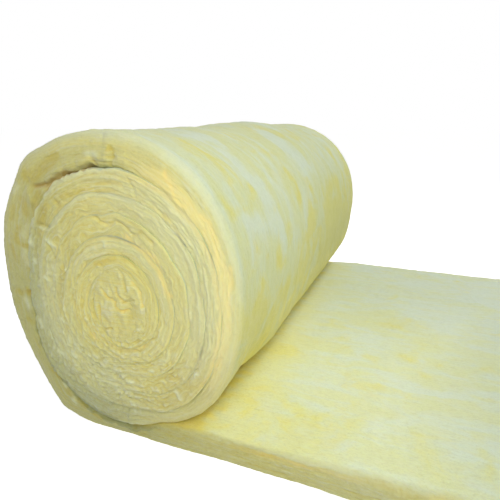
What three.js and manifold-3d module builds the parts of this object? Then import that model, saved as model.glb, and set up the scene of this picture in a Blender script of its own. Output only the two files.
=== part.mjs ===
// Loosely wound glass wool insulation blanket: one long strip of wool, rolled up without a bore,
// with its last stretch unrolled flat on the floor.
//
// Frame: millimetres, +Z up. +X runs along the unrolled stretch, +Y along the roll's axis.
// The origin is on the floor, under the middle of the bounding box.
//
// The strip is made as it is in life. A straight length with rounded edges is extruded first,
// and each of its cross-sections is then carried to its place: flat on the floor, under the roll,
// up the left side, over the top, down the right side, and on inwards turn by turn.
// "turn" counts that winding from straight below the roll's axis, so 0.25 is left, 0.5 is up,
// 0.75 is right, and 1 is below again, lying on the first layer.

import * as THREE from "three";
import { mergeVertices } from "three/addons/utils/BufferGeometryUtils.js";
import Module from "manifold-3d";

// ---- The strip ----
const strip_width = 1200;
const unrolled_length = 1250; // from under the roll's axis to the square-cut end
const free_thickness = 60; // where nothing presses on the wool
const recovery_length = 150; // distance over which it swells again beside the roll
const edge_radius = 20; // rounding of the strip's four long edges

// ---- The roll ----
// How far the outer turn's face would be from the axis, before the winding takes it inwards.
const reach_down = 317;
const reach_down_left = 323;
const reach_left = 315;
const reach_up_left = 352;
const reach_up = 350;
const reach_up_right = 323;
const reach_right = 284;
const reach_down_right = 303;
const base_sink = 13; // depth of outline that the roll's own weight flattens
const heel_height = 14; // the wool bulges beside the flattened base
const heel_turn = 0.095;
const heel_spread = 0.025;
const shoulder_height = 9; // and where the outer turn bends over at the upper left
const shoulder_turn = 0.397;
const shoulder_spread = 0.022;
const turn_count = 7.2;
const outer_pitch = 42; // mean thickness of the outermost turn
const pitch_tightening = 1.3; // each turn is this much thinner than the one around it
const rounding_turns = 6; // after this many turns the outline is a plain circle
const end_radius = 4; // of the closed eye, where the strip starts
const eye_closing = 0.25; // part of a turn over which the eye closes

// ---- How the turns lie on each other ----
const bottom_layer = 38; // height of each pressed layer under the axis
const pressed_layers = 4; // how many layers are flattened
const groove_width = 3; // seam between two turns, seen on the roll's ends
const groove_depth = 25; // behind the seams the turns are pressed together
const slack_pull = 47; // how far the second turn lies inwards at the left, under a full outer turn
const slack_turn = 0.29; // where along each turn this is greatest
const slack_spread = 0.19; // how far along the winding it reaches
const slack_turns = 9; // the pull fades out over this many turns
const opening_width = 14; // of the crack where the outer turn stands off the second one
const opening_turn = 0.435; // where it is widest
const opening_spread = 0.045;
const telescope = 12; // how far the inner turns stand out of the near end
const telescope_start = 0.95; // the winding where they begin to stand out
const telescope_end = 1.15;

// ---- How finely the shape is divided ----
const flat_steps = 10;
const outer_turn_steps = 40;
const inner_turn_steps = 20;
const corner_steps = 2;
const core_steps = 72;

const reaches = [
  reach_down,
  reach_down_left,
  reach_left,
  reach_up_left,
  reach_up,
  reach_up_right,
  reach_right,
  reach_down_right,
];
const mean_reach = reaches.reduce((sum, reach) => sum + reach, 0) / reaches.length;
const axis_height = reach_down - base_sink;

const smooth_step = (from, to, value) => THREE.MathUtils.smoothstep(value, from, to);
const hump = (value, centre, spread) => Math.exp(-(((value - centre) / spread) ** 2));
const lerp = THREE.MathUtils.lerp;

// Smooth closed curve through the eight reaches.
function outline_reach(turn) {
  const count = reaches.length;
  return reaches.reduce((sum, reach, index) => {
    const step = turn * count - index;
    const on_sample = Math.abs(Math.sin((Math.PI * step) / count)) < 1e-9;
    const weight = on_sample ? 1 : Math.sin(Math.PI * step) / (count * Math.tan((Math.PI * step) / count));
    return sum + reach * weight;
  }, 0);
}

// How far the outer turn bulges out of that curve.
function bulge(turn) {
  const heel = heel_height * hump(turn, heel_turn, heel_spread);
  const shoulder = shoulder_height * hump(turn, shoulder_turn, shoulder_spread);
  return heel + shoulder;
}

// How much further in each turn inside the outer one lies than the outline has it.
function pulled_in(turn) {
  const winding = Math.floor(turn);
  const share = winding < 1 ? 0 : 1 - (winding - 1) / slack_turns;
  return slack_pull * share * hump(turn - winding, slack_turn, slack_spread);
}

// Distance from the axis to the strip's outer face.
function face_radius(turn) {
  const rounded = Math.min(turn / rounding_turns, 1);
  const outline = lerp(outline_reach(turn), mean_reach, rounded);
  const wound_in = outer_pitch * turn - (pitch_tightening * turn * turn) / 2;
  return (outline * (mean_reach - wound_in)) / mean_reach + bulge(turn) - pulled_in(turn);
}

const direction = (turn) => new THREE.Vector2(-Math.sin(2 * Math.PI * turn), -Math.cos(2 * Math.PI * turn));

// How much the wool beside the roll has swelled back, x from the axis.
function swelling(x) {
  const recovered = 1 - Math.exp(-Math.max(x, 0) / recovery_length);
  return (free_thickness + groove_width - bottom_layer) * recovered;
}

// The larger of two heights, with the corner between them eased over the sink of the base.
function eased_max(height, floor) {
  const share = THREE.MathUtils.clamp(0.5 + (height - floor) / (2 * base_sink), 0, 1);
  return lerp(floor, height, share) + base_sink * share * (1 - share);
}

// Point (x, z) of the strip's outer face, x from the roll's axis.
function outer_face(turn) {
  const point = direction(turn).multiplyScalar(face_radius(turn));
  point.y += axis_height;
  const layers = Math.min(Math.round(turn), pressed_layers);
  const floor = layers === 0 ? 0 : layers * bottom_layer + swelling(point.x);
  point.y = eased_max(point.y, floor);
  return point;
}

// Point (x, z) of the strip's inner face: one seam outside the next turn's outer face.
function inner_face(turn) {
  const seam = groove_width + opening_width * hump(turn, opening_turn, opening_spread);
  const next = turn + 1;
  if (next < turn_count) {
    return outer_face(next).addScaledVector(direction(turn), seam);
  }
  const closed = smooth_step(turn_count, turn_count + eye_closing, next);
  const radius = lerp(face_radius(turn_count) + seam, end_radius, closed);
  return direction(turn).multiplyScalar(radius).add(new THREE.Vector2(0, axis_height));
}

// Cross-sections of the strip from its cut end to its start in the eye: outer and inner point,
// and how far the section stands out of the near end.
function strip_stations() {
  const stations = [];
  for (let step = 0; step < flat_steps; step += 1) {
    const x = unrolled_length * (1 - step / flat_steps) ** 2;
    const top = bottom_layer - groove_width + swelling(x);
    stations.push({ outer: new THREE.Vector2(x, 0), inner: new THREE.Vector2(x, top), shift: 0 });
  }
  for (let turn = 0; turn < turn_count; ) {
    const shift = telescope * smooth_step(telescope_start, telescope_end, turn);
    stations.push({ outer: outer_face(turn), inner: inner_face(turn), shift });
    turn += 1 / lerp(outer_turn_steps, inner_turn_steps, turn / turn_count);
  }
  return stations;
}

// The strip's section: its width along X and its thickness, from outer face to inner face, along Y.
function section_shape() {
  const half = strip_width / 2;
  const corner = edge_radius;
  const quarter = Math.PI / 2;
  const shape = new THREE.Shape();
  shape.moveTo(-half + corner, 0);
  shape.absarc(half - corner, corner, corner, -quarter, 0);
  shape.absarc(half - corner, free_thickness - corner, corner, 0, quarter);
  shape.absarc(-half + corner, free_thickness - corner, corner, quarter, 2 * quarter);
  shape.absarc(-half + corner, corner, corner, 2 * quarter, 3 * quarter);
  return shape;
}

function wound_strip() {
  const stations = strip_stations();
  const steps = stations.length - 1;
  const geometry = new THREE.ExtrudeGeometry(section_shape(), {
    depth: steps,
    steps,
    curveSegments: corner_steps,
    bevelEnabled: false,
  });
  const position = geometry.attributes.position;
  for (let i = 0; i < position.count; i += 1) {
    const { outer, inner, shift } = stations[Math.round(position.getZ(i))];
    const place = outer.clone().lerp(inner, position.getY(i) / free_thickness);
    position.setXYZ(i, place.x, -position.getX(i) - shift, place.y);
  }
  return geometry;
}

// The turns behind the seams, as one turned solid that reaches to the middle of the outer turn.
// Beside the flat stretch it steps down into the first layer, which it joins to the second.
function pressed_core() {
  const step_down = 0.92;
  const stepped_down = 0.94;
  const half_length = strip_width / 2 - groove_depth;
  const profile = [
    new THREE.Vector2(0, -half_length),
    new THREE.Vector2(1, -half_length),
    new THREE.Vector2(1, half_length),
    new THREE.Vector2(0, half_length),
  ];
  const geometry = new THREE.LatheGeometry(profile, core_steps);
  const position = geometry.attributes.position;
  const layer_middle = (bottom_layer - groove_width) / 2;
  for (let i = 0; i < position.count; i += 1) {
    const x = position.getX(i);
    const z = position.getZ(i);
    const share = Math.hypot(x, z);
    const turn = (Math.atan2(-x, -z) / (2 * Math.PI) + 1) % 1;
    const rim = outer_face(turn).lerp(inner_face(turn), 0.5);
    rim.y = lerp(rim.y, layer_middle, smooth_step(step_down, stepped_down, turn));
    position.setXYZ(i, rim.x * share, position.getY(i) - telescope, lerp(axis_height, rim.y, share));
  }
  return geometry;
}

const wasm = await Module();
wasm.setup();

function to_solid(geometry) {
  const bare = geometry.clone();
  bare.deleteAttribute("normal");
  bare.deleteAttribute("uv");
  const merged = mergeVertices(bare, 1e-3);
  return new wasm.Manifold(
    new wasm.Mesh({
      numProp: 3,
      vertProperties: merged.attributes.position.array,
      triVerts: new Uint32Array(merged.index.array),
    }),
  );
}

function to_geometry(solid) {
  const mesh = solid.getMesh();
  const geometry = new THREE.BufferGeometry();
  geometry.setAttribute("position", new THREE.BufferAttribute(mesh.vertProperties, 3));
  geometry.setIndex(new THREE.BufferAttribute(mesh.triVerts, 1));
  return geometry;
}

function insulation_blanket() {
  const geometry = to_geometry(to_solid(wound_strip()).add(to_solid(pressed_core())));
  geometry.computeBoundingBox();
  const middle = geometry.boundingBox.getCenter(new THREE.Vector3());
  geometry.translate(-middle.x, -middle.y, 0);
  geometry.computeVertexNormals();
  const wool = new THREE.MeshStandardMaterial({ color: 0xd9cf9a, roughness: 1, metalness: 0 });
  const blanket = new THREE.Mesh(geometry, wool);
  blanket.name = "glass_wool_blanket";
  return blanket;
}

const insulation_roll = new THREE.Group();
insulation_roll.add(insulation_blanket());

export default insulation_roll;
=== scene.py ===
"""Looks of a loosely wound glass wool blanket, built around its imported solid.

One long strip of wool is rolled up, and its last stretch lies unrolled on the floor. Every point of
it has a place in the strip: how far along it lies, how deep under the strip's outer face, and how
far across its width. Relief and colour are worked out there, so that fibres and layers follow the
winding, and the winding law then carries the points to where they lie.

Lengths are in metres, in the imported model's frame. "turn" counts the winding from straight below
the roll's axis: 0.25 is left, 0.5 is up, 0.75 is right, and 1 is below again, one layer up.
"share" is how deep a point lies in the strip, from 0 on its outer face to 1 on its inner face.
"""

import math

import bpy
import numpy as np
from mathutils import Matrix, Vector


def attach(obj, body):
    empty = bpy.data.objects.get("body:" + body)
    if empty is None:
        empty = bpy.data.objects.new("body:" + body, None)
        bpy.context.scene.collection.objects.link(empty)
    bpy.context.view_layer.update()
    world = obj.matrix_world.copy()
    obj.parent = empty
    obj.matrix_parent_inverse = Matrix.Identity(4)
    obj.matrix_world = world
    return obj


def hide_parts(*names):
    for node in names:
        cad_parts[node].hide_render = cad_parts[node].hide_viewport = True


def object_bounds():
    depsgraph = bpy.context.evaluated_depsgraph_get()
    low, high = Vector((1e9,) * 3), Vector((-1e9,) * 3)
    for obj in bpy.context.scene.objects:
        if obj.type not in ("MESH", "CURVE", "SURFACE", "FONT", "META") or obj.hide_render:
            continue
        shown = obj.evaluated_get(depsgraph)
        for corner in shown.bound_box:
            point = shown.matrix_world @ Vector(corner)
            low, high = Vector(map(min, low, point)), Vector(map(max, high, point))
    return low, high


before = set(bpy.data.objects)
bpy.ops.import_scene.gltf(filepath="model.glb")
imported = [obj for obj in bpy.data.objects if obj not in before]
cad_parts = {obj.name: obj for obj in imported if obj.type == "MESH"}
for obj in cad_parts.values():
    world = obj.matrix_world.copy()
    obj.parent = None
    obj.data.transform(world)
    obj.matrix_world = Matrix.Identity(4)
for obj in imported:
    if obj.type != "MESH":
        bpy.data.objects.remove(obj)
cad_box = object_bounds()

# ---- The strip and its winding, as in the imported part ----
STRIP_WIDTH = 1.200
UNROLLED_LENGTH = 1.250
FREE_THICKNESS = 0.060
RECOVERY_LENGTH = 0.150
REACHES = (0.317, 0.323, 0.315, 0.352, 0.350, 0.323, 0.284, 0.303)  # from below, through the left
BASE_SINK = 0.013
HEEL = (0.014, 0.095, 0.025)  # height, turn and spread of a bulge in the outline
SHOULDER = (0.009, 0.397, 0.022)
TURN_COUNT = 7.2
OUTER_PITCH = 0.042
PITCH_TIGHTENING = 0.0013
ROUNDING_TURNS = 6
END_RADIUS = 0.0005
EYE_CLOSING = 0.25
BOTTOM_LAYER = 0.038
PRESSED_LAYERS = 4
SLACK = (0.047, 0.29, 0.19)  # how far the turns have slumped inwards, and where
SLACK_TURNS = 9
TELESCOPE = 0.012  # how far the inner turns stand out of the near end
TELESCOPE_TURNS = (0.95, 1.15)

# ---- What only shows in the looks ----
CONTACT_TURN = 0.925  # where the outer turn comes down on the flat stretch
CONTACT_X = 0.146  # how far from under the axis it is seen to
WAIST = -0.465  # width where the roll's lower right side is narrowest
WAIST_DEPTH = 0.007
FULLER = 0.011  # how much further out it stands beyond the waist
SEAM = -0.002  # between two turns: they press into each other behind their rounded edges
CRACK_WIDTH = 0.0014  # where the outer turn stands off the second one at the near end
CRACK_ARCHES = (  # height, turn and spread of the arches in its upper edge, between lumps of wool
    (0.0090, 0.419, 0.009),
    (0.0080, 0.441, 0.008),
    (0.0085, 0.482, 0.0055),
)
CRACK_START = 0.412
CRACK_END = 0.497
CRACK_RISE = 0.012  # turns over which it opens, and closes
CRACK_FALL = 0.020
CRACK_DEPTH = 0.020
LIFT = (0.006, 1.432, 0.028)  # of the second turn's edge, under the crack's lower end
SAG = 0.013  # how far the second turn's edge has sunk into the first layer, at the lower left
SLIT_WIDTH = 0.0060  # of the thin gap between the two
NIBBLES = 0.0050  # out of the second turn's edge, on the left and under the crack
EDGE_DEPTH = 0.05  # how far from the ends the turns' edges are out of place
DROOP = 0.0015  # of the flat stretch's top towards its long edges
DROOP_WIDTH = 0.055
FLUSH = 0.011  # on the right, the outer turn's edge rises to the level of the inner turns
FUSED_FROM = 0.490  # the turn where it begins to
GLUED_FROM = 0.505  # and where the binder has glued the turns together

MEAN_REACH = sum(REACHES) / len(REACHES)
AXIS_HEIGHT = REACHES[0] - BASE_SINK
AXIS_X = cad_box[1].x - UNROLLED_LENGTH
STRIP_MIDDLE = TELESCOPE / 2  # y of the outer turn's middle, with the box centred
HALF_WIDTH = STRIP_WIDTH / 2


# ---- small helpers ----


def rise(low, high, value):
    """0 below low, 1 above high, smooth between."""
    share = np.clip((value - low) / (high - low), 0, 1)
    return share * share * (3 - 2 * share)


def fall(low, high, value):
    return 1 - rise(low, high, value)


def hump(value, centre, spread):
    return np.exp(-(((value - centre) / spread) ** 2))


def swell(value, shape):
    """A hump from its height, place and spread."""
    return shape[0] * hump(value, *shape[1:])


def lerp(a, b, share):
    return a + (b - a) * share


def most(first, *others):
    for other in others:
        first = np.maximum(first, other)
    return first


SEED_SHIFTS = (17.31, 9.17)  # that each seed moves the noise by, in x and y
NOISE_GAIN = 1.7
FINER = 2.03  # from one octave to the next
WEAKER = 1.9
GRADIENTS = np.random.default_rng(7).normal(size=(256, 3))
GRADIENTS /= np.linalg.norm(GRADIENTS, axis=1)[:, None]
SHUFFLE = np.tile(np.random.default_rng(11).permutation(256), 3)


def noise(x, y, z, seed):
    """Smooth gradient noise, about -1 to 1, at arrays of points."""
    places = np.broadcast_arrays(x + seed * SEED_SHIFTS[0], y + seed * SEED_SHIFTS[1], z)
    cells = [np.floor(place).astype(np.int64) for place in places]
    parts = [place - cell for place, cell in zip(places, cells)]
    fades = [part * part * part * (part * (part * 6 - 15) + 10) for part in parts]
    total = 0
    for corner in np.ndindex(2, 2, 2):
        index = 0
        for cell, step in zip(cells, corner):
            index = SHUFFLE[index + ((cell + step) & 255)]
        weight, dot = 1, 0
        for gradient, part, fade, step in zip(np.moveaxis(GRADIENTS[index], -1, 0), parts, fades, corner):
            weight = weight * (fade if step else 1 - fade)
            dot = dot + gradient * (part - step)
        total = total + weight * dot
    return total * NOISE_GAIN


def ridged(x, y, z, seed):
    """Rounded lumps with sharp creases, 0 to about 1."""
    return np.abs(noise(x, y, z, seed))


def lumpy(x, y, z, seed):
    """The same, about as much above 0 as under it."""
    return ridged(x, y, z, seed) - 0.25


def fractal(x, y, z, seed):
    """Noise in three octaves."""
    total = 0
    for octave in range(3):
        scale = FINER**octave
        total = total + noise(x * scale, y * scale, z * scale, seed + 5 * octave) / WEAKER**octave
    return total


def near_path(x, y, path, spread):
    """1 on a line through the path's points, falling off over spread to its sides and ends."""
    nearest = np.full(x.shape, np.inf)
    for (ax, ay), (bx, by) in zip(path, path[1:]):
        length = (bx - ax) ** 2 + (by - ay) ** 2
        share = np.clip(((x - ax) * (bx - ax) + (y - ay) * (by - ay)) / length, 0, 1)
        nearest = np.minimum(nearest, np.hypot(x - lerp(ax, bx, share), y - lerp(ay, by, share)))
    return hump(nearest, 0, spread)


def marked(x, y, marks, ragged, seed):
    """The strongest of the marks at points in metres, its outline ragged by millimetres."""
    wavy = 1000 * x
    high = 1000 * y
    for size, amount, offset in ((0.034, ragged, 0), (0.011, 0.4 * ragged, 1)):
        wavy = wavy + amount * noise(x / size, y / size, 0.3, seed + offset)
        high = high + amount * noise(x / size, y / size, 0.8, seed + offset)
    return most(0, *(strength * near_path(wavy, high, path, spread) for spread, strength, *path in marks))


# ---- marks seen in the photo ----
#
# Each mark is its half width in millimetres, its strength and a path of points.

# On the roll's outer face: the turn, and millimetres across the strip.
OUTER_YELLOWS = (
    (13, 1, (0.55, -330), (0.57, -340)),
    (13, 0.8, (0.625, -560), (0.64, -550), (0.64, -525), (0.645, -485), (0.64, -445), (0.625, -420)),
    (30, 0.35, (0.61, -490), (0.62, -500)), (14, 1, (0.62, -160), (0.64, -140), (0.665, -165)),
    (18, 1, (0.66, -30), (0.675, -30)), (28, 1, (0.7, -30), (0.71, -125), (0.72, -145)),
    (40, 1, (0.72, 135), (0.76, 185)), (25, 0.9, (0.75, -135), (0.78, -165)),
    (20, 0.6, (0.605, 400), (0.63, 380)), (20, 0.5, (0.55, 275), (0.56, 270)),
    (22, 0.6, (0.67, 315), (0.67, 155)), (13, 0.7, (0.705, -450), (0.715, -450)),
    (13, 0.8, (0.73, -485), (0.755, -515)), (20, 0.8, (0.77, -310), (0.78, -320)),
    (15, 0.8, (0.765, -465), (0.775, -465)),
)
OUTER_WHITES = (
    (20, 1, (0.53, -415), (0.545, -345), (0.575, -375), (0.605, -400), (0.62, -375), (0.64, -365)),
    (34, 1, (0.555, -35), (0.575, -30), (0.6, -20), (0.62, 25)),
    (20, 0.7, (0.65, -515), (0.68, -340), (0.705, -330), (0.745, -330)),
)
# On the flat stretch: millimetres along it from under the roll's axis, and across it.
FLAT_YELLOWS = (
    (12, 0.7, (436, -185), (456, -195)), (12, 1, (522, -150), (548, -165)),
    (24, 0.5, (360, -115), (375, -115)), (18, 0.7, (444, -35), (504, -40)),
    (15, 0.7, (560, -65), (570, -65)), (20, 0.7, (600, -160), (610, -160)),
    (15, 0.7, (658, -190), (728, -135)), (15, 0.6, (660, -310), (712, -280)),
    (20, 0.6, (700, -355), (710, -355)), (9, 0.8, (682, -460), (688, -490), (684, -535)),
    (17, 0.55, (304, -460), (342, -470), (380, -485)), (14, 0.7, (434, -500), (460, -455)),
    (15, 0.6, (510, -415), (520, -415)), (12, 0.7, (272, -500), (340, -520)),
    (12, 0.6, (484, -310), (528, -305)), (50, 0.5, (350, 0), (450, 30), (540, 10)),
)
FLAT_WHITES = (
    (25, 0.7, (480, -270), (540, -280)), (50, 1, (712, 305), (770, 290)), (40, 0.6, (630, 40), (645, 40)),
    (30, 0.8, (650, -485), (655, -485)), (20, 0.6, (490, -575), (500, -575)),
    (30, 0.5, (650, -270), (660, -270)),
)
# On the near end: millimetres to the right of the roll's axis, and above it.
TEARS = (
    (4.5, 1, (-176, 222), (-150, 225), (-126, 228)), (5, 0.9, (-146, 222), (-128, 232), (-110, 243)),
    (3, 0.4, (-24, 272), (-18, 264)), (3, 0.4, (-139, -239), (-131, -246)),
    (4.5, 0.8, (-236, -11), (-230, -12)),
)
CREASES = (
    (3.5, 0.7, (-26, 272), (-29, 285)), (3.5, 0.9, (14, 268), (20, 283), (16, 296)),
    (4, 1, (-120, 199), (-116, 195), (-111, 190)), (4, 0.9, (-179, 140), (-176, 130), (-168, 118)),
    (4, 0.8, (-148, 104), (-140, 90), (-131, 76)), (4, 1.3, (-162, 150), (-151, 147), (-142, 143)),
    (3.5, 1, (-25, 171), (-17, 165), (-3, 160), (7, 162), (18, 169), (27, 165), (39, 157)),
    (3.5, 1, (39, 157), (53, 147), (65, 146), (78, 153), (88, 146), (101, 137)),
    (3.5, 0.6, (56, 246), (64, 232), (70, 214)), (3.5, 0.7, (98, 210), (113, 197), (126, 185)),
    (3.5, 0.7, (141, 171), (150, 149), (162, 136)), (3.5, 0.8, (20, 104), (41, 95), (59, 83), (62, 71)),
    (3.5, 0.6, (193, -37), (187, -62), (178, -89)), (3.5, 0.9, (226, -70), (217, -84)),
    (3.5, 0.6, (172, 12), (165, -20), (163, -45)),
    (4, 0.8, (213, -94), (198, -118), (180, -144), (158, -169)),
    (3.5, 0.7, (-101, 27), (-99, -17), (-93, -46), (-90, -83), (-63, -109), (-46, -127)),
    (3, 0.6, (-184, 206), (-179, 216), (-188, 226), (-198, 236)),
)
FACE_YELLOWS = (
    (4, 1, (22, 283), (21, 292), (13, 297), (10, 291)),
    (13, 0.9, (-195, 240), (-170, 240), (-150, 254), (-112, 280)), (12, 0.9, (-212, 190), (-210, 168)),
    (8, 1, (-165, 208), (-176, 188), (-184, 170)), (5, 1, (-246, 102), (-230, 92), (-214, 93)),
    (9, 0.9, (-140, 185), (-150, 165), (-158, 152)), (6, 0.8, (-165, 130), (-163, 122)),
    (8, 0.8, (-236, 132), (-246, 104)), (8, 1, (-244, -8), (-232, -18)), (8, 0.9, (-268, -12), (-258, -14)),
    (8, 0.6, (-250, -75), (-240, -85)), (6, 0.7, (-138, 20), (-140, -30), (-132, -80)),
    (9, 1, (-196, -190), (-182, -206)), (8, 0.7, (-165, -232), (-158, -242)),
    (9, 1, (-132, -252), (-118, -265)), (7, 1, (-95, -279), (-78, -286)), (9, 0.6, (-262, 90), (-255, 60)),
    (8, 0.6, (-250, 150), (-240, 175)), (9, 0.6, (-215, -135), (-205, -150)),
    (6, 1, (-97, 206), (-80, 212), (-59, 218), (-35, 223), (-12, 222)),
    (4.5, 0.8, (-14, 233), (20, 238), (40, 235)), (4.5, 0.7, (-15, 222), (10, 225), (28, 224)),
    (9, 0.7, (-112, 195), (-106, 190)), (9, 0.8, (-160, 135), (-152, 133)),
    (8, 0.9, (128, 186), (134, 180)), (6, 0.9, (116, -133), (135, -128)),
    (7, 0.9, (-32, 83), (-15, 87), (13, 98)), (8, 0.8, (-118, 62), (-131, 25), (-129, -22), (-126, -71)),
)
FACE_ORANGES = (
    (6, 1, (125, 256), (140, 236), (146, 217), (166, 203)),
    (6, 1, (190, 187), (205, 178), (218, 143), (223, 103), (226, 80)),
    (5, 0.9, (241, 100), (243, 70), (238, 45), (240, 15)),
    (6, 0.9, (41, 139), (60, 125), (75, 118), (100, 107), (108, 83), (116, 65), (120, 45), (127, 38)),
    (5, 0.7, (-60, -74), (-58, -80)), (3.5, 1, (224, -72), (214, -88)),
    (3.5, 0.5, (-62, -2), (-58, -31), (-56, -53), (-37, -78), (-18, -89), (4, -92), (40, -87), (62, -75)),
)
PUFFS = (
    (11, 0.8, (-126, 248), (-106, 256)), (11, 0.8, (-88, 264), (-72, 270)), (11, 1, (-50, 273), (-36, 277)),
    (11, 1, (-8, 281), (4, 281)), (10, 0.7, (36, 279), (48, 275)), (10, 0.7, (-190, 205), (-186, 190)),
)
TUFTS = (
    (5, 0.8, (-168, 36), (-164, 32)), (5, 0.7, (-143, 60), (-143, 54)), (3, 0.9, (-109, 62), (-109, 56)),
    (3.6, 0.9, (-190, 70), (-190, 64)), (4.2, 0.8, (-188, 114), (-188, 108)),
    (4.5, 0.8, (-147, 117), (-137, 105)), (3.6, 0.8, (-139, -52), (-135, -58)),
    (4.5, 0.8, (-201, -66), (-197, -80)), (5, 0.8, (-160, -130), (-150, -137)),
    (5, 0.7, (-122, -128), (-114, -134)), (5, 0.6, (-128, -14), (-122, -24)),
    (6, 0.5, (-163, 184), (-170, 168), (-180, 146)), (5, 0.6, (-170, -222), (-166, -227)),
    (6, 0.6, (-149, -254), (-143, -260)), (4, 0.6, (-160, 142), (-150, 139)),
    (6, 0.7, (-190, 115), (-188, 107)), (8, 0.4, (-228, 80), (-226, 55)),
    (8, 0.35, (-212, 135), (-222, 115)), (7, 0.5, (-250, -30), (-244, -45)),
    (4.2, 1, (128, -158), (140, -172)), (4.2, 1, (22, -215), (28, -215)),
    (3.6, 0.9, (72, -127), (77, -127)), (3.6, 0.8, (22, -162), (28, -162)),
    (3.6, 0.8, (172, -110), (178, -110)), (3.6, 0.8, (14, -240), (19, -240)),
    (3.6, 0.8, (102, -212), (108, -212)), (3, 0.8, (-8, 128), (-8, 117)), (8, 0.35, (85, -115), (122, -80)),
    (6, 0.6, (-34, 286), (-16, 284)), (6, 0.5, (-232, 205), (-222, 218)),
)
NEAR_END_MARKS = {
    "tear": TEARS,
    "crease": CREASES,
    "puff": PUFFS,
    "tuft": TUFTS,
    "yellow": FACE_YELLOWS,
    "orange": FACE_ORANGES,
}


# ---- the winding law ----


def outline_reach(turn):
    """Smooth closed curve through the eight reaches."""
    count = len(REACHES)
    total = np.zeros_like(turn)
    for index, reach in enumerate(REACHES):
        angle = math.pi * (turn * count - index)
        on_sample = np.abs(np.sin(angle / count)) < 1e-9
        slope = np.tan(np.where(on_sample, 1, angle / count))
        total = total + reach * np.where(on_sample, 1, np.sin(angle) / (count * slope))
    return total


def face_radius(turn):
    """From the roll's axis to the strip's outer face."""
    outline = lerp(outline_reach(turn), MEAN_REACH, np.minimum(turn / ROUNDING_TURNS, 1))
    wound_in = OUTER_PITCH * turn - PITCH_TIGHTENING * turn * turn / 2
    winding = np.floor(turn)
    slack = np.where(winding < 1, 0, 1 - (winding - 1) / SLACK_TURNS)
    bulge = swell(turn, HEEL) + swell(turn, SHOULDER)
    return outline * (MEAN_REACH - wound_in) / MEAN_REACH + bulge - slack * swell(turn - winding, SLACK)


def direction(turn):
    return np.stack([-np.sin(2 * math.pi * turn), -np.cos(2 * math.pi * turn)], axis=-1)


def recovered(x):
    """How much the wool beside the roll has swelled back, x from the axis."""
    return (FREE_THICKNESS - BOTTOM_LAYER) * (1 - np.exp(-np.maximum(x, 0) / RECOVERY_LENGTH))


def buckling(turn):
    """Waves that the inner turns have where they were pressed along their length."""
    grown = lerp(0.55 * rise(1.05, 1.2, turn), 1, rise(1.6, 2.6, turn)) * rise(TURN_COUNT, 5.6, turn)
    crinkled = 1 + swell(turn, (1.6, 3.47, 0.14)) + swell(turn, (0.8, 2.45, 0.08))
    length = turn * 2 * math.pi * (MEAN_REACH - OUTER_PITCH * turn / 2)
    waves = noise(length / 0.06, 0.3, 0.7, 3) + 0.5 * noise(length / 0.027, 0.1, 0.4, 4)
    return 0.0032 * grown * crinkled * waves


def outer_face(turn):
    """Point (x, z) of the strip's outer face, x from the roll's axis."""
    turn = np.asarray(turn, float)
    point = direction(turn) * (face_radius(turn) + buckling(turn))[..., None]
    height = point[..., 1] + AXIS_HEIGHT
    layers = np.minimum(np.floor(turn + 0.5), PRESSED_LAYERS)
    floor = np.where(layers == 0, 0, layers * BOTTOM_LAYER + recovered(point[..., 0]))
    share = np.clip(0.5 + (height - floor) / (2 * BASE_SINK), 0, 1)
    point[..., 1] = lerp(floor, height, share) + BASE_SINK * share * (1 - share)
    return point


def inner_face(turn):
    """Point (x, z) of the strip's inner face: where the next turn's outer face lies on it."""
    turn = np.asarray(turn, float)
    beyond = np.minimum(turn + 1, TURN_COUNT)
    wound = outer_face(beyond) + direction(turn) * SEAM
    closed = rise(TURN_COUNT, TURN_COUNT + EYE_CLOSING, turn + 1)
    radius = lerp(face_radius(np.full_like(turn, TURN_COUNT)), END_RADIUS, closed)
    eye = direction(turn) * radius[..., None]
    eye[..., 1] += AXIS_HEIGHT
    return np.where((turn + 1 < TURN_COUNT)[..., None], wound, eye)


TABLE_POINTS = 12001
TURN_TABLE = np.linspace(0, TURN_COUNT, TABLE_POINTS)
SMOOTH_LINE = direction(TURN_TABLE) * (face_radius(TURN_TABLE) - OUTER_PITCH / 2)[:, None]
STEPS = np.linalg.norm(np.diff(SMOOTH_LINE, axis=0), axis=1)
LENGTH_TABLE = np.concatenate([[0], np.cumsum(STEPS)])


def length_at(turn):
    return float(np.interp(turn, TURN_TABLE, LENGTH_TABLE))


class Stations:
    """Cross-sections of the strip: along is the length from under the axis, negative on the flat."""

    def __init__(self, start, end, spacing):
        count = int(round(abs(end - start) / spacing)) + 1
        self.along = np.linspace(start, end, count)
        self.turn = np.interp(self.along, LENGTH_TABLE, TURN_TABLE)
        self.wound = self.along > 0
        x = -self.along
        flat_outer = np.stack([x, np.zeros(count)], axis=-1)
        flat_inner = np.stack([x, BOTTOM_LAYER + recovered(x)], axis=-1)
        self.outer = np.where(self.wound[:, None], outer_face(self.turn), flat_outer)
        across = np.where(self.wound[:, None], inner_face(self.turn), flat_inner) - self.outer
        self.thickness = np.linalg.norm(across, axis=1)
        self.inwards = across / self.thickness[:, None]
        self.shift = TELESCOPE * rise(*TELESCOPE_TURNS, self.turn)

    def at(self, depth):
        """Points (x, z) at a depth in the strip, x from the roll's axis."""
        return self.outer[:, None] + self.inwards[:, None] * depth[..., None]


# ---- the strip's section ----

OUTER_CORNER, END, INNER_CORNER, INNER_FACE, OUTER_FACE = range(5)
FINE_REACH = 0.12  # how far from the ends a face's points have reached their widest spacing
ROUNDEST = 0.45  # largest rounding of an edge, as a share of the thickness


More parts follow.
